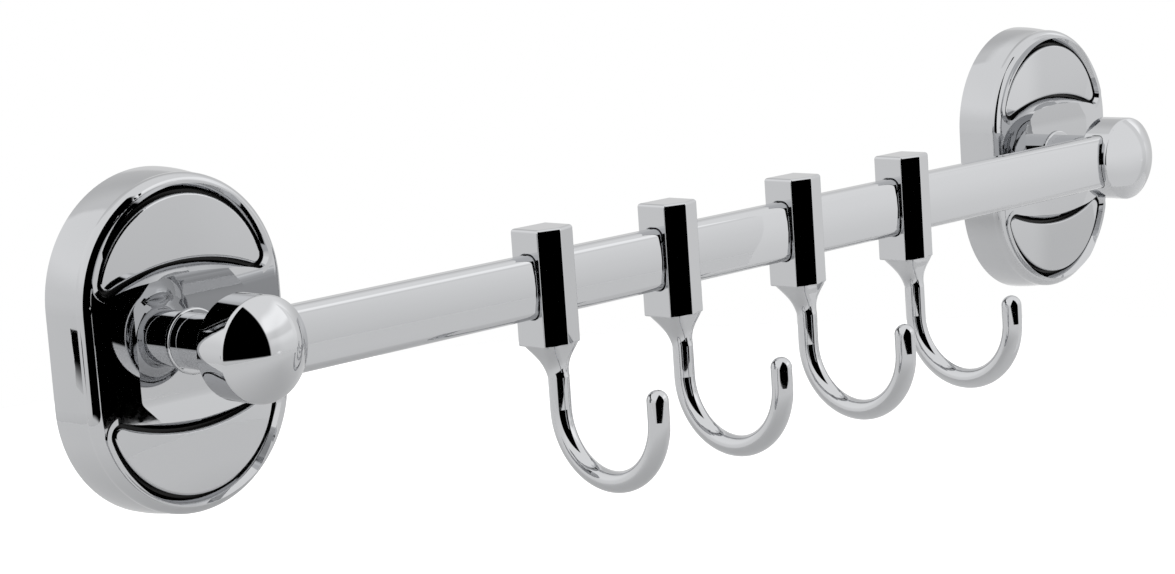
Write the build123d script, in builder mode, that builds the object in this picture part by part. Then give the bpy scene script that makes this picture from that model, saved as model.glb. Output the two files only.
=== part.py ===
from build123d import *
import math
import os

# Hook rail: a rounded rectangular rail between two wall brackets, with four hooks that slide on it.
# Frame: X along the rail, the wall is the plane Y = 0 with the room at -Y, and Z is up.
# The origin lies on the wall, midway between the brackets and level with the middle of their plates.

# Overall layout, millimetres
post_spacing = 358.0            # between the two post axes
post_rise = 1.0                 # post axis above the middle of its plate
rail_depth = 38.8               # rail axis in front of the wall
hook_1_place = -80.5
hook_2_place = -32.5
hook_3_place = 20.0
hook_4_place = 69.5

# Escutcheon, a die-cast shell with a stadium outline
plate_height = 85.0
plate_width = 61.0
rim_depth = 14.2                # flat front rim in front of the wall
plate_draft = 1.0               # how far the back edge stands out past the front bead
side_swell = 0.35               # how far the side wall bulges between its edges
bead_height = 3.0               # rounded front band above the side wall
bead_round = 2.4
bead_overhang = 0.45            # step from the bead back to the side wall
shell_wall = 2.4
shell_roof = 2.2

# Pads, their grooves and lips, and the waist between them
pad_margin = 4.1                # from the plate outline to a pad
pad_hollow_radius = 55.0        # the pad's hollow edge, which faces the post
pad_hollow_crest = 20.3         # that edge above or below the plate's middle
pad_corner = 3.0
groove_width = 0.9
groove_depth = 1.7
groove_flare = 35.0             # slope of the groove's flared mouth, degrees from upright
groove_mouth = 0.6              # depth of that flare below the rim
lip_width = 2.0
lip_height = 0.6
pad_dome_radius = 300.0
pad_dome_rise = 0.7             # top of a pad above the rim
pad_round = 0.6
waist_depth = 15.7              # flat middle of the waist, in front of the wall
waist_half_width = 17.0         # where the flat middle ends and the side slopes start
waist_side_slope = 7.5          # degrees, down to the plate's sides
waist_flank_slope = 7.0         # degrees, up to the pads' hollow edges
waist_flank_rise = 1.0
waist_blend = 15.0              # radius of the soft bends between these surfaces
waist_inset = 2.6               # from the plate outline to the foot of the waist

# Collar and post; the post is one turned piece with its round head
collar_radius = 8.3
collar_thickness = 1.0
collar_seat_depth = 15.5        # seat sunk into the waist, in front of the wall
neck_radius = 7.0
spigot_radius = 4.5
spigot_length = 5.4
cove_depth = 28.6               # where the neck starts to flare
head_radius = 13.2
head_back_depth = 33.9
head_front_depth = 43.7
head_dome_height = 5.2
head_back_round = 0.4
head_front_round = 1.2

# Rail, a drawn tube
rail_height = 17.0
rail_thickness = 7.2
rail_crown = 50.0               # radius of the gently rounded front and back
rail_corner = 2.4
rail_wall = 1.2
rail_entry = 5.0                # rail end past the post axis, inside the head

# Hook casting, measured from the rail axis
block_top = 15.2
block_bottom = 16.2
block_half_width = 6.5
block_back = 5.6
block_shoulder = 4.7            # front corners, where the flat sides end
block_ridge = 6.8               # ridge down the middle of the front
block_corner = 0.5
block_top_round = 0.9
block_bottom_round = 0.4
window_round = 0.3
rod_radius = 2.9
rod_offset = 2.2                # leg of the J in front of the rail axis
bend_radius = 17.9
hook_bottom = 54.2
hook_tip = 25.2
throat_length = 8.6             # from the block down to the round rod
throat_widths = (12.2, 9.8, 7.6, 6.3)

# Hidden fixings
strip_width = 20.0
strip_thickness = 2.0
strip_tab = 9.0
strip_gap = 1.65                # between the strip and the clamp screw's boss
strip_bend = 2.6                # outside radius of a bend
strip_bend_inside = 0.6
wall_hole_spacing = 44.0
wall_hole_radius = 2.3
boss_radius = 8.5
boss_end = 6.5                  # end of the central boss in front of the wall
screw_radius = 2.5
screw_head_radius = 4.5
screw_head_height = 2.8
screw_reach = 20.0
washer_radius = 4.4
washer_thickness = 0.8
washer_gap = 0.9
clamp_radius = 2.0
clamp_depth = 5.5               # clamp screw axis in front of the wall
clamp_recess = 0.8
clamp_boss_radius = 4.2
clamp_boss_length = 3.0
rail_screw_radius = 2.0
rail_screw_recess = 0.6
socket_radius = 1.25            # hexagon sockets, to their corners
socket_depth = 1.5

# Fits
slide_clearance = 0.2           # hook window round the rail, on each side
hole_clearance = 0.1            # rail in its head, spigots and screws in their holes
tip_clearance = 0.1             # screw tips to what they clamp

half_spacing = post_spacing / 2
end_centre = (plate_height - plate_width) / 2
strip_height = plate_height - 2 * (bead_overhang + shell_wall + clamp_boss_length + strip_gap)
bead_back = rim_depth - bead_height
cavity_depth = rim_depth - groove_depth - shell_roof
post_foot = collar_seat_depth + collar_thickness
rail_end = half_spacing + rail_entry
rail_z = post_rise
hook_places = (hook_1_place, hook_2_place, hook_3_place, hook_4_place)
brackets = {"left": -1, "right": 1}
os.makedirs("parts", exist_ok=True)


def save(builder, name):
    builder.part.label = name
    export_step(builder.part, f"parts/{name}.step")


def stadium(grow):
    SlotOverall(plate_height + 2 * grow, plate_width + 2 * grow, rotation=90)


def upper_pad(grow):
    # The outer arc follows the round end of the plate, and the hollow edge faces the post.
    with BuildSketch() as pad:
        with Locations((0, end_centre)):
            Circle(plate_width / 2 - pad_margin)
        with Locations((0, pad_hollow_crest - pad_hollow_radius)):
            Circle(pad_hollow_radius, mode=Mode.SUBTRACT)
        fillet(pad.vertices(), pad_corner)
        if grow:
            offset(amount=grow)
    return pad.sketch


def both_pads(grow):
    upper = upper_pad(grow)
    return [upper, mirror(upper, about=Plane.XZ)]


def rail_section(grow):
    # A flat oval: crowned front and back, rounded corners.
    crown_centre = rail_crown - rail_thickness / 2
    with BuildSketch() as section:
        Rectangle(rail_thickness + 2 * grow, rail_height + 2 * grow)
        with Locations((crown_centre, 0)):
            Circle(rail_crown + grow, mode=Mode.INTERSECT)
        with Locations((-crown_centre, 0)):
            Circle(rail_crown + grow, mode=Mode.INTERSECT)
        fillet(section.vertices(), rail_corner + grow)
    return section.sketch.moved(Location((-rail_depth, rail_z)))


def wall_plane(x, z=0.0):
    # Local x is the rail's direction, local y is up, and the normal points into the room.
    return Plane(origin=(x, 0, z), x_dir=(1, 0, 0), z_dir=(0, -1, 0))


pad_pockets = both_pads(0)
pad_lips = both_pads(lip_width)
pad_top = upper_pad(-groove_width)
pad_centre = (pad_hollow_crest + plate_height / 2 - pad_margin) / 2


def side_wall_at(depth):
    # Half height of the tapered side wall at a depth in front of the wall.
    return plate_height / 2 + plate_draft - (plate_draft + bead_overhang) * depth / bead_back


def make_escutcheon(name, x):
    wall = wall_plane(x)
    post = wall_plane(x, post_rise)

    # The waist between the pads is a shallow trough along the rail, and it slopes away to both sides.
    crest = waist_depth + waist_flank_rise
    side_fall = math.tan(math.radians(waist_side_slope))
    flank_climb = math.tan(math.radians(waist_flank_slope))
    side_end = plate_width / 2
    side_end_depth = waist_depth - (side_end - waist_half_width) * side_fall
    ridge_end = waist_half_width - waist_flank_rise / side_fall
    flank_end_depth = waist_depth + (plate_height / 2 - end_centre) * flank_climb
    with BuildPart() as waist:
        with BuildSketch(wall.offset(cavity_depth)):
            stadium(-waist_inset)
        extrude(amount=plate_height)
        with BuildSketch(Plane.XY.offset(-plate_height)) as across:
            with Locations((x, 0)):
                Polygon(
                    (-side_end, -side_end_depth),
                    (-ridge_end, -crest),
                    (ridge_end, -crest),
                    (side_end, -side_end_depth),
                    (side_end, 0),
                    (-side_end, 0),
                    align=None,
                )
            fillet(across.vertices().group_by(Axis.Y)[0], waist_blend)
        extrude(amount=2 * plate_height, mode=Mode.INTERSECT)
        with BuildSketch(Plane.YZ.offset(x - plate_width)) as upright:
            Polygon(
                (-flank_end_depth, -plate_height / 2),
                (-waist_depth, -end_centre),
                (-waist_depth, end_centre),
                (-flank_end_depth, plate_height / 2),
                (0, plate_height / 2),
                (0, -plate_height / 2),
                align=None,
            )
            fillet(upright.vertices().filter_by(lambda v: abs(v.X + waist_depth) < 0.001), waist_blend)
        extrude(amount=2 * plate_width, mode=Mode.INTERSECT)

    # Each pad rises out of its groove to a shallow crown.
    with BuildPart() as pad:
        with BuildSketch(wall.offset(rim_depth - groove_depth)):
            add(pad_top)
        extrude(amount=plate_height)
        with Locations((x, pad_dome_radius - rim_depth - pad_dome_rise, pad_centre)):
            Sphere(pad_dome_radius, mode=Mode.INTERSECT)
        fillet(pad.faces().sort_by(Axis.Y)[0].edges(), pad_round)

    with BuildPart() as shell:
        with BuildSketch(wall):
            stadium(plate_draft)
        with BuildSketch(wall.offset(bead_back / 2)):
            stadium((plate_draft - bead_overhang) / 2 + side_swell)
        with BuildSketch(wall.offset(bead_back)):
            stadium(-bead_overhang)
        loft()
        with BuildSketch(wall.offset(bead_back)):
            stadium(0)
        extrude(amount=bead_height)
        bead = shell.faces().filter_by(Axis.Y).sort_by(Axis.Y)[0]
        fillet(bead.edges(), bead_round)
        with BuildSketch(wall.offset(bead_back)):
            add(pad_lips)
        extrude(amount=bead_height + lip_height)
        add(waist.part)
        with BuildSketch(wall.offset(rim_depth - groove_depth)):
            add(pad_pockets)
        extrude(amount=plate_height, mode=Mode.SUBTRACT)
        with BuildSketch(wall.offset(rim_depth - groove_mouth)):
            add(pad_pockets)
        extrude(amount=plate_height, taper=-groove_flare, mode=Mode.SUBTRACT)
        add(pad.part)
        add(mirror(pad.part, about=Plane.XY))

        # The open back, with a boss for the post screw and one for the clamp screw.
        with BuildSketch(wall):
            stadium(-shell_wall - bead_overhang)
        extrude(amount=cavity_depth, mode=Mode.SUBTRACT)
        with BuildSketch(post.offset(boss_end)):
            Circle(boss_radius)
        extrude(amount=cavity_depth - boss_end)
        mid_wall = plate_height / 2 - bead_overhang - shell_wall / 2
        with BuildSketch(Plane.XY.offset(-mid_wall)):
            with Locations((x, -clamp_depth)):
                Circle(clamp_boss_radius)
        extrude(amount=shell_wall / 2 + clamp_boss_length)

        # Seat for the collar, hole for the post's spigot, and the screw holes.
        with BuildSketch(post.offset(collar_seat_depth)):
            Circle(collar_radius + hole_clearance)
        extrude(amount=plate_height, mode=Mode.SUBTRACT)
        with BuildSketch(post.offset(post_foot - spigot_length - hole_clearance)):
            Circle(spigot_radius + hole_clearance)
        extrude(amount=plate_height, mode=Mode.SUBTRACT)
        with BuildSketch(post):
            Circle(screw_radius + hole_clearance)
        extrude(amount=plate_height, mode=Mode.SUBTRACT)
        with BuildSketch(Plane.XY.offset(-plate_height)):
            with Locations((x, -clamp_depth)):
                Circle(clamp_radius + hole_clearance)
        extrude(amount=plate_height - strip_height / 2, mode=Mode.SUBTRACT)
    save(shell, name)


def make_collar(name, x):
    # A turned ring between the waist and the foot of the post.
    with BuildPart() as collar:
        with BuildSketch(wall_plane(x, post_rise).offset(collar_seat_depth)):
            Circle(collar_radius)
            Circle(spigot_radius + hole_clearance, mode=Mode.SUBTRACT)
        extrude(amount=collar_thickness)
        rim = collar.faces().filter_by(Axis.Y).sort_by(Axis.Y)[0].edges().sort_by(SortBy.LENGTH)[-1]
        fillet(rim, collar_thickness / 2)
    save(collar, name)


def make_post(name, x, side):
    # Local x of the profile is the radius and local y the depth in front of the wall.
    section = Plane(origin=(x, 0, post_rise), x_dir=(1, 0, 0), z_dir=(0, 0, -1))
    dome_radius = (head_radius**2 + head_dome_height**2) / (2 * head_dome_height)
    spigot_end = post_foot - spigot_length
    cove_radius = head_back_depth - cove_depth
    top = head_front_depth + head_dome_height
    with BuildPart() as post:
        with BuildSketch(section) as profile:
            with BuildLine():
                foot = Polyline(
                    (0, spigot_end),
                    (spigot_radius, spigot_end),
                    (spigot_radius, post_foot),
                    (neck_radius, post_foot),
                    (neck_radius, cove_depth),
                )
                cove = TangentArc(foot @ 1, (neck_radius + cove_radius, head_back_depth), tangent=(0, 1))
                head = Polyline(cove @ 1, (head_radius, head_back_depth), (head_radius, head_front_depth))
                RadiusArc(head @ 1, (0, top), -dome_radius)
                Line((0, top), (0, spigot_end))
            make_face()
            front_corner = profile.vertices().group_by(Axis.X)[-1].sort_by(Axis.Y)
            fillet(front_corner[-1], head_front_round)
            fillet(profile.vertices().group_by(Axis.X)[-1].sort_by(Axis.Y)[0], head_back_round)
        revolve(axis=Axis((x, 0, post_rise), (0, -1, 0)))

        # Pocket for the rail's end, tapped hole for the post screw, and the rail screw's hole.
        with BuildSketch(Plane.YZ.offset(side * (rail_end + tip_clearance))):
            add(rail_section(hole_clearance))
        extrude(amount=-side * (rail_entry + 2 * head_radius), mode=Mode.SUBTRACT)
        with BuildSketch(wall_plane(x, post_rise).offset(spigot_end)):
            Circle(screw_radius + hole_clearance)
        extrude(amount=screw_reach, mode=Mode.SUBTRACT)
        with BuildSketch(Plane.XY.offset(rail_z)):
            with Locations((x, -rail_depth)):
                Circle(rail_screw_radius + hole_clearance)
        extrude(amount=-2 * head_radius, mode=Mode.SUBTRACT)
    save(post, name)


def make_strip(name, x):
    # A pressed steel strip, flat on the wall, with both ends bent forward into tabs.
    with BuildPart() as strip:
        with BuildSketch(Plane.YZ.offset(x - strip_width / 2)) as section:
            with Locations((-strip_tab / 2, 0)):
                Rectangle(strip_tab, strip_height)
            with Locations((-strip_tab / 2 - strip_thickness, 0)):
                Rectangle(strip_tab, strip_height - 2 * strip_thickness, mode=Mode.SUBTRACT)
            corners = section.vertices().group_by(Axis.X)
            fillet(corners[-1], strip_bend)
            inner = section.vertices().filter_by(lambda v: abs(v.X + strip_thickness) < 0.01)
            fillet(inner.filter_by(lambda v: abs(v.Y) < strip_height / 2), strip_bend_inside)
        extrude(amount=strip_width)
        with BuildSketch(wall_plane(x)):
            with GridLocations(0, wall_hole_spacing, 1, 2):
                Circle(wall_hole_radius)
        extrude(amount=2 * strip_thickness, mode=Mode.SUBTRACT)
    save(strip, name)


def make_post_screw(name, x):
    # Pan-head machine screw from behind; its head bears on the washer.
    seat = boss_end - washer_thickness
    axis = wall_plane(x, post_rise)
    with BuildPart() as screw:
        with BuildSketch(axis.offset(seat - screw_head_height)):
            Circle(screw_head_radius)
        extrude(amount=screw_head_height)
        fillet(screw.faces().sort_by(Axis.Y)[-1].edges(), screw_head_height / 3)
        with BuildSketch(axis.offset(seat)):
            Circle(screw_radius)
        extrude(amount=screw_reach)
        with BuildSketch(axis.offset(seat - screw_head_height)):
            RegularPolygon(socket_radius, 6)
        extrude(amount=socket_depth, mode=Mode.SUBTRACT)
    save(screw, name)


def make_washer(name, x):
    # A split spring washer, pressed flat between the screw head and the boss.
    with BuildPart() as washer:
        with BuildSketch(wall_plane(x, post_rise).offset(boss_end - washer_thickness)):
            Circle(washer_radius)
            Circle(screw_radius + hole_clearance, mode=Mode.SUBTRACT)
            with Locations((0, washer_radius)):
                Rectangle(washer_gap, 2 * (washer_radius - screw_radius), mode=Mode.SUBTRACT)
        extrude(amount=washer_thickness)
    save(washer, name)


def make_grub_screw(name, x, depth, tip_z, end_z, radius):
    with BuildPart() as screw:
        with BuildSketch(Plane.XY.offset(end_z)):
            with Locations((x, -depth)):
                Circle(radius)
        extrude(amount=tip_z - end_z)
        with BuildSketch(Plane.XY.offset(end_z)):
            with Locations((x, -depth)):
                RegularPolygon(socket_radius, 6)
        extrude(amount=socket_depth, mode=Mode.SUBTRACT)
    save(screw, name)


def make_rail():
    with BuildPart() as rail:
        with BuildSketch(Plane.YZ.offset(-rail_end)):
            add(rail_section(0))
            add(rail_section(-rail_wall), mode=Mode.SUBTRACT)
        extrude(amount=2 * rail_end)
    save(rail, "rail")


def make_hook(name, x):
    # The casting is a block with a window for the rail, a hollow throat and a round J.
    with BuildPart() as hook:
        with BuildSketch(Plane(origin=(x, -rail_depth, rail_z - block_bottom))) as section:
            with BuildLine():
                Polyline(
                    (-block_half_width, block_back),
                    (-block_half_width, -block_shoulder),
                    (0, -block_ridge),
                    (block_half_width, -block_shoulder),
                    (block_half_width, block_back),
                    close=True,
                )
            make_face()
            fillet(section.vertices(), block_corner)
        extrude(amount=block_top + block_bottom)
        ends = hook.faces().filter_by(Axis.Z).sort_by(Axis.Z)
        fillet(ends[-1].edges(), block_top_round)
        fillet(hook.faces().filter_by(Axis.Z).sort_by(Axis.Z)[0].edges(), block_bottom_round)

        # The throat narrows in a hollow curve from the block to the rod.
        steps = len(throat_widths)
        for step, width in enumerate((*throat_widths, 2 * rod_radius)):
            share = step / steps
            drop = block_bottom - block_bottom_round + (throat_length + block_bottom_round) * share
            shift = rod_offset * share
            centre = Plane(origin=(x, -rail_depth - shift, rail_z - drop))
            with BuildSketch(centre):
                RectangleRounded(width, width, min(rod_radius - 0.02, width / 2 - 0.02))
        loft()

        # One round rod makes the leg, the bend and the upturned end.
        leg_y = -rail_depth - rod_offset
        end_y = leg_y - 2 * bend_radius
        bend_z = rail_z - hook_bottom + rod_radius + bend_radius
        tip_z = rail_z - hook_tip - rod_radius
        with BuildLine(Plane.YZ.offset(x)) as path:
            leg = Line((leg_y, rail_z - block_bottom - throat_length), (leg_y, bend_z))
            bend = JernArc(leg @ 1, (0, -1), bend_radius, -180)
            Line(bend @ 1, (end_y, tip_z))
        with BuildSketch(Plane(origin=leg @ 0, z_dir=leg % 0)):
            Circle(rod_radius)
        sweep(path=path.line)
        with Locations((x, end_y, tip_z)):
            Sphere(rod_radius)

        # The window slides on the rail.
        with BuildSketch(Plane.YZ.offset(x - block_half_width)):
            add(rail_section(slide_clearance))
        extrude(amount=2 * block_half_width, mode=Mode.SUBTRACT)
        window_rims = [rim for face in hook.faces().filter_by(Axis.X) for rim in face.inner_wires()]
        fillet([edge for rim in window_rims for edge in rim.edges()], window_round)
    save(hook, name)


make_rail()
for number, place in enumerate(hook_places, start=1):
    make_hook(f"hook_{number}", place)
for side_name, side in brackets.items():
    post_x = side * half_spacing
    make_escutcheon(f"{side_name}_escutcheon", post_x)
    make_collar(f"{side_name}_collar", post_x)
    make_post(f"{side_name}_post", post_x, side)
    make_strip(f"{side_name}_wall_strip", post_x)
    make_post_screw(f"{side_name}_post_screw", post_x)
    make_washer(f"{side_name}_spring_washer", post_x)
    strip_end = -strip_height / 2 - tip_clearance
    clamp_end = clamp_recess - side_wall_at(clamp_depth)
    make_grub_screw(f"{side_name}_clamp_screw", post_x, clamp_depth, strip_end, clamp_end, clamp_radius)
    rail_under = rail_z - rail_height / 2 - tip_clearance
    head_under = rail_z - head_radius + rail_screw_recess
    make_grub_screw(
        f"{side_name}_rail_screw", post_x, rail_depth, rail_under, head_under, rail_screw_radius
    )
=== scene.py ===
import math

import bpy
from mathutils import Matrix, Quaternion, Vector


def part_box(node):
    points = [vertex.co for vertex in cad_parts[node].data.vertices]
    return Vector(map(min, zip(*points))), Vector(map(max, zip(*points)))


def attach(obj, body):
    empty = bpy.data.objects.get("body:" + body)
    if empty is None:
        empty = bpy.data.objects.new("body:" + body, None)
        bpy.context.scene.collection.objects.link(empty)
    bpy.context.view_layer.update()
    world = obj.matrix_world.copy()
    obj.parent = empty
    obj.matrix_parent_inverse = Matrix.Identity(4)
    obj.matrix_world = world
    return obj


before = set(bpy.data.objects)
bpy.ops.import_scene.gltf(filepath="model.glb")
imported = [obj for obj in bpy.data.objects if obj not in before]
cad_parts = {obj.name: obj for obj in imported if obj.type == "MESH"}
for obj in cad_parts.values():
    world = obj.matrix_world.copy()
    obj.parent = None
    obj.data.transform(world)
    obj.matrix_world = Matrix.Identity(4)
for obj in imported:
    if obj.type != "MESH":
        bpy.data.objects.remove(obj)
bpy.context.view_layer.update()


# The rail: a drawn brass tube with a flat rounded section, polished and then chrome plated.
# It runs into a pocket in each head, and a small screw from below holds each end.

def linear(code):
    shares = [int(code[i:i + 2], 16) / 255 for i in (1, 3, 5)]
    return (*[s / 12.92 if s <= 0.04045 else ((s + 0.055) / 1.055) ** 2.4 for s in shares], 1.0)


def node(tree, kind, links=None, **settings):
    # Adds any node, a shader one by its short name, and links each socket or gives it a value.
    made = tree.nodes.new(kind if "Node" in kind else "ShaderNode" + kind)
    for name, value in settings.items():
        setattr(made, name, value)
    for socket, value in (links or {}).items():
        if isinstance(value, bpy.types.NodeSocket):
            tree.links.new(value, made.inputs[socket])
        else:
            made.inputs[socket].default_value = value
    return made


def chrome(name, colour, roughness, haze_mm, wave_mm, wave_depth_mm):
    # Bright chromium is a cool grey mirror. Buffing leaves a faint haze and a long, shallow wave.
    clearest = roughness * 0.6
    haziest = roughness * 1.5
    made = bpy.data.materials.new(name)
    made.use_nodes = True
    tree = made.node_tree
    shader = tree.nodes["Principled BSDF"]
    shader.inputs["Base Color"].default_value = linear(colour)
    shader.inputs["Metallic"].default_value = 1.0
    place = node(tree, "TexCoord").outputs["Object"]
    haze = node(tree, "TexNoise", {"Vector": place, "Scale": 1000 / haze_mm, "Detail": 4.0})
    rough = node(tree, "MapRange", {"Value": haze.outputs["Fac"], "From Min": 0.3, "From Max": 0.7,
                                    "To Min": clearest, "To Max": haziest})
    tree.links.new(rough.outputs["Result"], shader.inputs["Roughness"])
    wave = node(tree, "TexNoise", {"Vector": place, "Scale": 1000 / wave_mm, "Detail": 0.0})
    bump = node(tree, "Bump", {"Height": wave.outputs["Fac"], "Distance": wave_depth_mm / 1000})
    tree.links.new(bump.outputs["Normal"], shader.inputs["Normal"])
    return made


def dress(names, finish):
    for name in names:
        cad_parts[name].data.materials[0] = finish


tube_chrome = chrome("chrome on drawn brass tube, mirror polished", "#C7C8CA", roughness=0.02,
                     haze_mm=2.5, wave_mm=60, wave_depth_mm=0.006)
dress(["rail"], tube_chrome)


# The hooks: four zinc castings, each a block with a window for the rail, a tapered throat and a J of
# round rod with a ball end. They are tumbled, buffed and chrome plated, so their corners stay soft.

hooks = [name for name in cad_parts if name.startswith("hook_")]
hook_chrome = chrome("chrome on cast zinc, tumbled and buffed", "#C7C8CA", roughness=0.022,
                     haze_mm=1.5, wave_mm=25, wave_depth_mm=0.005)
dress(hooks, hook_chrome)


# The escutcheons: die-cast zinc shells with a stadium outline, a rounded front band and two grooved
# pads with a waist between them. Chrome covers the casting, and its grooves are coloured a glossy black.

groove_edge = (-0.0137, -0.0135)      # Y over which the black begins
groove_floor = (-0.0112, -0.0108)     # Y over which it ends, behind the groove's floor
groove_reach = (0.0274, 0.0277)       # how far it goes from the plate's centre line
shell_back = (-0.0103, -0.0100)       # Y behind which the casting is hollow
plate_spine = 0.012                   # half the straight part of the outline
satin_roughness = 0.34
post_x = abs(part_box("left_collar")[0][0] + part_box("left_collar")[1][0]) / 2


def dull_inside(finish):
    # The hollow back of a casting isn't polished before it is plated, so it is a blurred, satin mirror.
    # That is every face behind the front that looks back to the wall or in to the plate's middle.
    inward = (-0.2, -0.3)
    backward = (0.5, 0.6)
    tree = finish.node_tree
    shader = tree.nodes["Principled BSDF"]
    place = node(tree, "SeparateXYZ", {0: node(tree, "TexCoord").outputs["Object"]})
    facing = node(tree, "SeparateXYZ", {0: node(tree, "NewGeometry").outputs["Normal"]})
    side = node(tree, "Math", {0: place.outputs["X"]}, operation="SIGN")
    from_post = node(tree, "Math", {0: side.outputs[0], 1: -post_x, 2: place.outputs["X"]},
                     operation="MULTIPLY_ADD")
    outwards = node(tree, "CombineXYZ", {"X": from_post.outputs[0], "Z": place.outputs["Z"]})
    outwards = node(tree, "VectorMath", {0: outwards.outputs[0]}, operation="NORMALIZE")
    flat_facing = node(tree, "CombineXYZ", {"X": facing.outputs["X"], "Z": facing.outputs["Z"]})
    turned_in = node(tree, "VectorMath", {0: outwards.outputs[0], 1: flat_facing.outputs[0]},
                     operation="DOT_PRODUCT")
    inner_wall = node(tree, "MapRange", {"Value": turned_in.outputs["Value"], "From Min": inward[0],
                                         "From Max": inward[1]})
    inner_roof = node(tree, "MapRange", {"Value": facing.outputs["Y"], "From Min": backward[0],
                                         "From Max": backward[1]})
    either = node(tree, "Math", {0: inner_wall.outputs["Result"], 1: inner_roof.outputs["Result"]},
                  operation="MAXIMUM")
    behind = node(tree, "MapRange", {"Value": place.outputs["Y"], "From Min": shell_back[0],
                                     "From Max": shell_back[1]})
    share = node(tree, "Math", {0: either.outputs[0], 1: behind.outputs["Result"]}, operation="MULTIPLY")
    polished = shader.inputs["Roughness"].links[0].from_socket
    rough = node(tree, "MapRange", {"Value": share.outputs[0], "To Min": polished, "To Max": satin_roughness})
    tree.links.new(rough.outputs["Result"], shader.inputs["Roughness"])
    return finish


def black_in_grooves(finish):
    # The grooves' walls and floor are a glossy, non-metallic black, so they read as black lines beside the
    # chrome.
    tree = finish.node_tree
    metal = tree.nodes["Principled BSDF"]
    place = node(tree, "SeparateXYZ", {0: node(tree, "TexCoord").outputs["Object"]})
    aside = node(tree, "Math", {0: place.outputs["X"]}, operation="ABSOLUTE")
    aside = node(tree, "Math", {0: aside.outputs[0], 1: post_x}, operation="SUBTRACT")
    above = node(tree, "Math", {0: place.outputs["Z"]}, operation="ABSOLUTE")
    above = node(tree, "Math", {0: above.outputs[0], 1: plate_spine}, operation="SUBTRACT")
    above = node(tree, "Math", {0: above.outputs[0], 1: 0.0}, operation="MAXIMUM")
    reach = node(tree, "CombineXYZ", {"X": aside.outputs[0], "Z": above.outputs[0]})
    reach = node(tree, "VectorMath", {0: reach.outputs[0]}, operation="LENGTH")
    inside = node(tree, "MapRange", {"Value": reach.outputs["Value"], "From Min": groove_reach[0],
                                     "From Max": groove_reach[1], "To Min": 1.0, "To Max": 0.0})
    past_edge = node(tree, "MapRange", {"Value": place.outputs["Y"], "From Min": groove_edge[0],
                                     "From Max": groove_edge[1]})
    floored = node(tree, "MapRange", {"Value": place.outputs["Y"], "From Min": groove_floor[0],
                                      "From Max": groove_floor[1], "To Min": 1.0, "To Max": 0.0})
    share = node(tree, "Math", {0: past_edge.outputs["Result"], 1: floored.outputs["Result"]},
                 operation="MULTIPLY")
    share = node(tree, "Math", {0: share.outputs[0], 1: inside.outputs["Result"]}, operation="MULTIPLY")
    groove_black = node(tree, "BsdfPrincipled", {"Base Color": linear("#0B0B0C"), "Roughness": 0.35,
                                           "Specular IOR Level": 0.3})
    mixed = node(tree, "MixShader", {0: share.outputs[0], 1: metal.outputs[0], 2: groove_black.outputs[0]})
    tree.links.new(mixed.outputs[0], tree.nodes["Material Output"].inputs["Surface"])
    return finish


plates = ["left_escutcheon", "right_escutcheon"]
plate_chrome = chrome("chrome on die-cast zinc, hand polished, with black grooves", "#C2C3C5", roughness=0.022,
                      haze_mm=2.0, wave_mm=40, wave_depth_mm=0.004)
dress(plates, black_in_grooves(dull_inside(plate_chrome)))


# The posts and their collars: turned from brass bar, polished in the lathe and chrome plated. The
# spigot of each post sits in its escutcheon, with the collar ring trapped between the two.

turned = [side + part for side in ("left_", "right_") for part in ("post", "collar")]
turned_chrome = chrome("chrome on turned brass, lathe polished", "#C7C8CA", roughness=0.02,
                       haze_mm=2.0, wave_mm=50, wave_depth_mm=0.005)
dress(turned, turned_chrome)


# The wall strips: pressed steel, bent at both ends and zinc plated, with a dull crystalline grey.
# Each has two holes for wall screws, which are the user's and aren't modelled.

def plated_steel(name, colour, dark, roughness, grain_mm, pit_mm):
    # Zinc on pressed or cold-headed steel is satin, with a faint mottled grain and fine pits.
    smoothest = roughness * 0.7
    roughest = roughness * 1.3
    pit_depth = 0.00005
    made = bpy.data.materials.new(name)
    made.use_nodes = True
    tree = made.node_tree
    shader = tree.nodes["Principled BSDF"]
    shader.inputs["Metallic"].default_value = 1.0
    place = node(tree, "TexCoord").outputs["Object"]
    grain = node(tree, "TexNoise", {"Vector": place, "Scale": 1000 / grain_mm, "Detail": 5.0})
    tone = node(tree, "Mix", {0: grain.outputs["Fac"], 6: linear(colour), 7: linear(dark)}, data_type="RGBA")
    tree.links.new(tone.outputs[2], shader.inputs["Base Color"])
    rough = node(tree, "MapRange", {"Value": grain.outputs["Fac"], "To Min": smoothest, "To Max": roughest})
    tree.links.new(rough.outputs["Result"], shader.inputs["Roughness"])
    pits = node(tree, "TexNoise", {"Vector": place, "Scale": 1000 / pit_mm, "Detail": 3.0})
    bump = node(tree, "Bump", {"Height": pits.outputs["Fac"], "Distance": pit_depth})
    tree.links.new(bump.outputs["Normal"], shader.inputs["Normal"])
    return made


strips = ["left_wall_strip", "right_wall_strip"]
strip_zinc = plated_steel("zinc plate on pressed steel strip", "#B4B6B8", "#8E9194", roughness=0.32,
                          grain_mm=3.0, pit_mm=0.6)
dress(strips, strip_zinc)


# The hidden screws and spring washers: cold-headed steel, hardened and zinc plated, a little darker
# than the strips.

screws = [side + part for side in ("left_", "right_")
          for part in ("post_screw", "spring_washer", "clamp_screw", "rail_screw")]
screw_zinc = plated_steel("zinc plate on hardened screw steel", "#9A9C9F", "#6F7275", roughness=0.28,
                          grain_mm=1.2, pit_mm=0.3)
dress(screws, screw_zinc)


# The screw threads: a rolled ridge winds round each shank, 0.7 or 0.8 mm from turn to turn, and
# catches the light as fine slanting lines.

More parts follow.
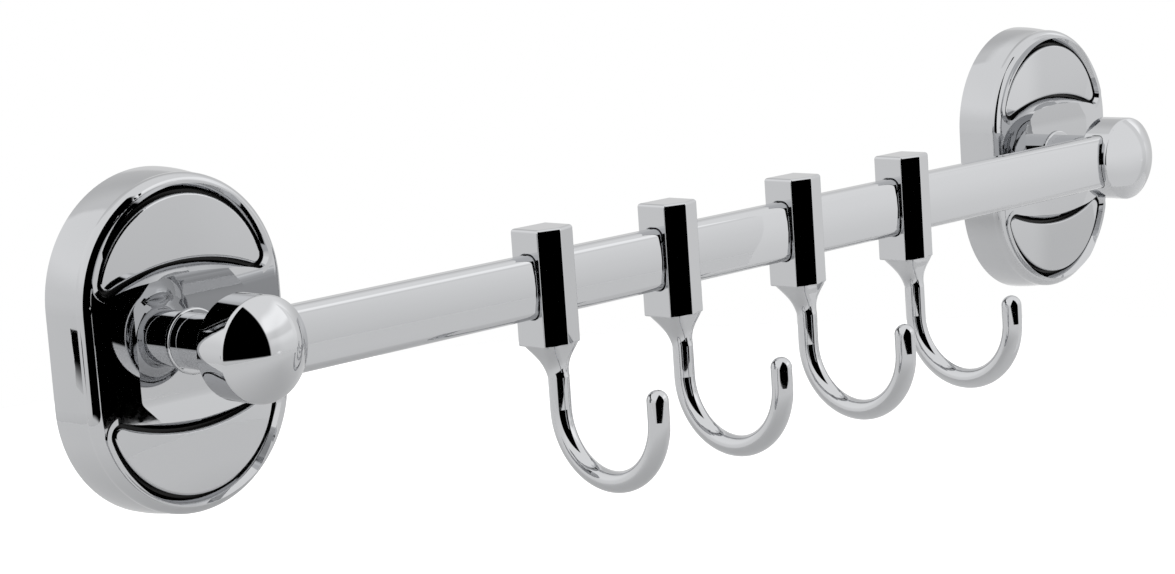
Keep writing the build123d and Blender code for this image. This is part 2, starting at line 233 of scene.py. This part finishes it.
thread_height = 0.00006
steps_per_turn = 28
ridge_sides = 4
y_axis, z_axis = 1, 2
thread_tree = bpy.data.node_groups.new("rolled_thread", "GeometryNodeTree")
sockets = {}
for label, kind in (("Radius", "NodeSocketFloat"), ("Pitch", "NodeSocketFloat"),
                    ("Length", "NodeSocketFloat"), ("Finish", "NodeSocketMaterial")):
    sockets[label] = thread_tree.interface.new_socket(label, in_out="INPUT", socket_type=kind).identifier
thread_tree.interface.new_socket("Geometry", in_out="OUTPUT", socket_type="NodeSocketGeometry")

given = node(thread_tree, "NodeGroupInput").outputs
turns = node(thread_tree, "Math", {0: given["Length"], 1: given["Pitch"]}, operation="DIVIDE")
helix = node(thread_tree, "GeometryNodeCurveSpiral", {
    "Resolution": steps_per_turn, "Rotations": turns.outputs[0], "Start Radius": given["Radius"],
    "End Radius": given["Radius"], "Height": given["Length"]})
ridge = node(thread_tree, "GeometryNodeCurvePrimitiveCircle", {
    "Resolution": ridge_sides, "Radius": thread_height})
wound = node(thread_tree, "GeometryNodeCurveToMesh", {
    "Curve": helix.outputs[0], "Profile Curve": ridge.outputs[0], "Fill Caps": True})
solid = node(thread_tree, "GeometryNodeRealizeInstances", {0: wound.outputs[0]})
plated = node(thread_tree, "GeometryNodeSetMaterial", {"Geometry": solid.outputs[0],
                                                       "Material": given["Finish"]})
node(thread_tree, "NodeGroupOutput", {0: plated.outputs[0]})


def wind_thread(screw, axis, radius, pitch, bare):
    # The helix stands on Z, and an axis along Y turns it to face the room.
    low, high = (Vector(corner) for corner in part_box(screw))
    middle = (low + high) / 2
    length = (high - low)[axis] - bare - 2 * thread_height
    blank = bpy.data.objects.new(screw + "_blank", bpy.data.meshes.new(screw + "_blank"))
    bpy.context.scene.collection.objects.link(blank)
    winding = blank.modifiers.new("thread", "NODES")
    winding.node_group = thread_tree
    for label, value in (("Radius", radius), ("Pitch", pitch), ("Length", length),
                         ("Finish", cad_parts[screw].data.materials[0])):
        winding[sockets[label]] = value
    ready = blank.evaluated_get(bpy.context.evaluated_depsgraph_get())
    mesh = bpy.data.meshes.new_from_object(ready)
    mesh.name = screw + "_thread"
    blank.modifiers.remove(winding)
    bpy.data.objects.remove(blank)
    if axis == y_axis:
        mesh.transform(Matrix.Rotation(math.pi / 2, 4, "X"))
        mesh.transform(Matrix.Translation((middle.x, low.y + thread_height + length, middle.z)))
    else:
        mesh.transform(Matrix.Translation((middle.x, middle.y, low.z + thread_height)))
    thread = bpy.data.objects.new(mesh.name, mesh)
    bpy.context.scene.collection.objects.link(thread)
    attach(thread, "rail_set")


# The post screws are M5 and lie along Y, and each has no thread on its head and the first 4 mm of its
# shank. The other four are M4 grub screws that stand on Z.
for side in ("left_", "right_"):
    wind_thread(side + "post_screw", y_axis, radius=0.0025, pitch=0.0008, bare=0.0068)
    wind_thread(side + "clamp_screw", z_axis, radius=0.0020, pitch=0.0007, bare=0.0)
    wind_thread(side + "rail_screw", z_axis, radius=0.0020, pitch=0.0007, bare=0.0)


# Floor, light and camera. The floor is a plain pale disc under the object, and the studio is a white
# tent with a dark opening round the camera, which the chrome shows.

floor_height = -0.12
floor_radius = 0.52
rim_points = 96
turn = math.tau / rim_points
rim = [(floor_radius * math.cos(turn * i), floor_radius * math.sin(turn * i), floor_height)
       for i in range(rim_points)]
floor_mesh = bpy.data.meshes.new("floor")
floor_mesh.from_pydata(rim, [], [range(rim_points)])
floor = bpy.data.objects.new("floor", floor_mesh)
bpy.context.scene.collection.objects.link(floor)

# The camera sees the paper as white. For glossy rays the paper also glows, a painted light that grows away
# from the middle and to the right, so the chrome shows it greyer near the object and on its left as painted
# shade.
lift_in_view = 0.55
far_from_middle = {"From Min": 0.17, "From Max": 0.38, "To Min": 0.01, "To Max": 0.22}
to_the_right = {"From Min": -0.10, "From Max": 0.10, "To Min": 0.0, "To Max": 0.14}
paper = bpy.data.materials.new("matt white paper floor")
paper.use_nodes = True
tree = paper.node_tree
tree.nodes.clear()
rays = node(tree, "LightPath")
in_view = node(tree, "Math", {0: rays.outputs["Is Camera Ray"], 1: lift_in_view}, operation="MULTIPLY")
place = node(tree, "TexCoord").outputs["Object"]
spread = node(tree, "VectorMath", {0: place}, operation="LENGTH")
# Painted light seen only in the chrome: the paper glows more away from the middle and to the right.
far_painted_light = node(tree, "MapRange", {"Value": spread.outputs["Value"], **far_from_middle},
                interpolation_type="SMOOTHSTEP")
along = node(tree, "SeparateXYZ", {0: place})
right_painted_light = node(tree, "MapRange", {"Value": along.outputs["X"], **to_the_right},
                  interpolation_type="SMOOTHSTEP")
painted_light_share = node(tree, "Math", {0: far_painted_light.outputs["Result"], 1: right_painted_light.outputs["Result"]},
            operation="MAXIMUM")
painted_light_in_metal = node(tree, "Math", {0: rays.outputs["Is Glossy Ray"], 1: painted_light_share.outputs[0]}, operation="MULTIPLY")
white_and_painted_light = node(tree, "Math", {0: in_view.outputs[0], 1: painted_light_in_metal.outputs[0]}, operation="ADD")
matt = node(tree, "BsdfDiffuse", {"Color": linear("#DEDEDE")})
glow = node(tree, "Emission", {"Color": linear("#FFFFFF"), "Strength": white_and_painted_light.outputs[0]})
both = node(tree, "AddShader", {0: matt.outputs[0], 1: glow.outputs[0]})
node(tree, "OutputMaterial", {"Surface": both.outputs[0]})
floor_mesh.materials.append(paper)

world = bpy.data.worlds.new("white tent")
bpy.context.scene.world = world
world.use_nodes = True
tree = world.node_tree
tree.nodes.clear()
rays = node(tree, "LightPath")
towards = node(tree, "TexCoord").outputs["Generated"]


def blend(direction, start, end, low=0.0, high=1.0):
    # Goes smoothly from low to high as the view turns towards a direction. Start and end are cosines.
    dot = node(tree, "VectorMath", {0: towards, 1: direction}, operation="DOT_PRODUCT")
    share = node(tree, "MapRange", {"Value": dot.outputs["Value"], "From Min": start, "From Max": end,
                                    "To Min": low, "To Max": high}, interpolation_type="SMOOTHSTEP")
    return share.outputs["Result"]


def product(*shares):
    made = shares[0]
    for share in shares[1:]:
        made = node(tree, "Math", {0: made, 1: share}, operation="MULTIPLY").outputs[0]
    return made


def brighter(by, *shares):
    # One part of the cloth, where all the shares meet, is brighter than the rest, or duller.
    return node(tree, "Math", {0: product(*shares), 1: by, 2: 1.0}, operation="MULTIPLY_ADD").outputs[0]


# The dark opening is bounded by a plane on each side of the camera and one below it.
up = (0, 0, 1)
edge_blur = 0.02
right_edge = blend((-0.900, -0.376, -0.138), -edge_blur, edge_blur)
left_edge = blend((0.438, -0.899, -0.36), -edge_blur, edge_blur)
low_edge = blend(up, -0.25, -0.21)
opening = product(right_edge, left_edge, low_edge)

# The cloth is duller towards the floor and brighter overhead, and its walls differ a little.
height = blend(up, -0.45, 0.05, low=0.76, high=0.96)
ceiling = blend(up, 0.05, 0.40, low=1.0, high=1.18)
right_wall = blend((0.866, -0.5, 0.0), 0.90, 0.98, low=0.98, high=1.07)
left_wall = blend((-0.76, 0.64, 0.0), 0.6, 0.95, low=1.0, high=1.03)
back_wall = blend((0.66, 0.72, 0.2), 0.55, 0.85, low=1.0, high=0.80)

# Two soft boxes shine through it at the front right, one above the other, with a dim gap between them
# that the rounded heads show. High at the back a part of the cloth is in shade.
soft_box = brighter(0.14, blend((0.766, -0.643, 0.0), 0.86, 0.95), blend(up, -0.08, 0.07),
                    blend(up, 0.08, 0.14, low=1.0, high=-0.4))
grey_top = brighter(-0.18, blend((1, 0, 0), -0.20, -0.12), blend((0, 1, 0), 0.40, 0.50),
                    blend(up, 0.30, 0.42))
upper_box = brighter(0.30, blend((0.766, -0.643, 0.25), 0.84, 0.93), blend(up, 0.22, 0.32),
                     blend(up, 0.50, 0.65, low=1.0, high=0.0))
cloth = product(height, ceiling, right_wall, left_wall, back_wall, soft_box, upper_box, grey_top)

tent = node(tree, "MapRange", {"Value": opening, "To Min": cloth, "To Max": 0.0})
seen = node(tree, "MapRange", {"Value": rays.outputs["Is Camera Ray"], "To Min": tent.outputs["Result"],
                               "To Max": 1.0})
white = node(tree, "Background", {"Color": linear("#FFFFFF"), "Strength": seen.outputs["Result"]})
node(tree, "OutputWorld", {"Surface": white.outputs[0]})

# A white card in front of the right bracket keeps the dark opening out of it. It is brighter towards
# its top, and a little duller beyond the bracket.
card_left, card_right = 0.098, 0.420
card_low, card_high = -0.110, 0.200
card_front = -0.130
brighter_upwards = {"From Min": -0.06, "From Max": 0.02, "To Min": 0.92, "To Max": 1.12}
duller_sideways = {"From Min": 0.290, "From Max": 0.325, "To Min": 1.0, "To Max": 0.88}
card_mesh = bpy.data.meshes.new("white_card")
card_corners = [(card_left, card_front, card_low), (card_right, card_front, card_low),
                (card_right, card_front, card_high), (card_left, card_front, card_high)]
card_mesh.from_pydata(card_corners, [], [(3, 2, 1, 0)])
card = bpy.data.objects.new("white_card", card_mesh)
bpy.context.scene.collection.objects.link(card)
card.visible_camera = False
card.visible_diffuse = False
card.visible_shadow = False

board = bpy.data.materials.new("white foam board, evenly lit")
board.use_nodes = True
tree = board.node_tree
tree.nodes.clear()
spot = node(tree, "SeparateXYZ", {0: node(tree, "TexCoord").outputs["Object"]})
upward = node(tree, "MapRange", {"Value": spot.outputs["Z"], **brighter_upwards},
              interpolation_type="SMOOTHSTEP")
sideways = node(tree, "MapRange", {"Value": spot.outputs["X"], **duller_sideways},
                interpolation_type="SMOOTHSTEP")
lit = node(tree, "Emission", {"Color": linear("#FFFFFF"),
                              "Strength": product(upward.outputs["Result"], sideways.outputs["Result"])})
node(tree, "OutputMaterial", {"Surface": lit.outputs[0]})
card_mesh.materials.append(board)

# A small black flag behind the left bracket puts a dark mark on the side wall of its escutcheon. The
# mark fades out at its lower end.
flag_near = (-0.290, 0.022)
flag_far = (-0.303, 0.052)
flag_low, flag_high = -0.025, -0.009
flag_fade = 0.008
flag_mesh = bpy.data.meshes.new("black_flag")
flag_corners = [(*flag_near, flag_low), (*flag_far, flag_low), (*flag_far, flag_high),
                (*flag_near, flag_high)]
flag_mesh.from_pydata(flag_corners, [], [(0, 1, 2, 3)])
flag = bpy.data.objects.new("black_flag", flag_mesh)
bpy.context.scene.collection.objects.link(flag)
flag.visible_camera = False
flag.visible_diffuse = False
flag.visible_shadow = False

felt = bpy.data.materials.new("black felt, greyer at its foot")
felt.use_nodes = True
tree = felt.node_tree
tree.nodes.clear()
spot = node(tree, "SeparateXYZ", {0: node(tree, "TexCoord").outputs["Object"]})
worn = node(tree, "MapRange", {"Value": spot.outputs["Z"], "From Min": flag_low,
                               "From Max": flag_low + flag_fade, "To Min": 0.75, "To Max": 0.0},
            interpolation_type="SMOOTHSTEP")
grey = node(tree, "Emission", {"Color": linear("#FFFFFF"), "Strength": worn.outputs["Result"]})
node(tree, "OutputMaterial", {"Surface": grey.outputs[0]})
flag_mesh.materials.append(felt)

# The camera stands left of the middle and a little above the rail, and leans by four degrees.
azimuth = math.radians(-44.41)
elevation = math.radians(9.0)
lean = math.radians(-3.963)
aim = Vector((-0.04704, -0.020, -0.00656))
camera_distance = 0.79383
sensor_width = 36.0
focal_pixels = 2871.0
photo_width = 1175
back = Vector((math.sin(azimuth) * math.cos(elevation), -math.cos(azimuth) * math.cos(elevation),
               math.sin(elevation)))
camera = bpy.data.objects.new("camera", bpy.data.cameras.new("camera"))
bpy.context.scene.collection.objects.link(camera)
camera.data.sensor_width = sensor_width
camera.data.lens = sensor_width * focal_pixels / photo_width
camera.data.clip_start = 0.01
camera.location = aim + back * camera_distance
upright = back.to_track_quat("Z", "Y")
camera.rotation_mode = "QUATERNION"
camera.rotation_quaternion = upright @ Quaternion((0, 0, 1), lean)
bpy.context.scene.camera = camera
bpy.context.scene.view_settings.view_transform = "Standard"
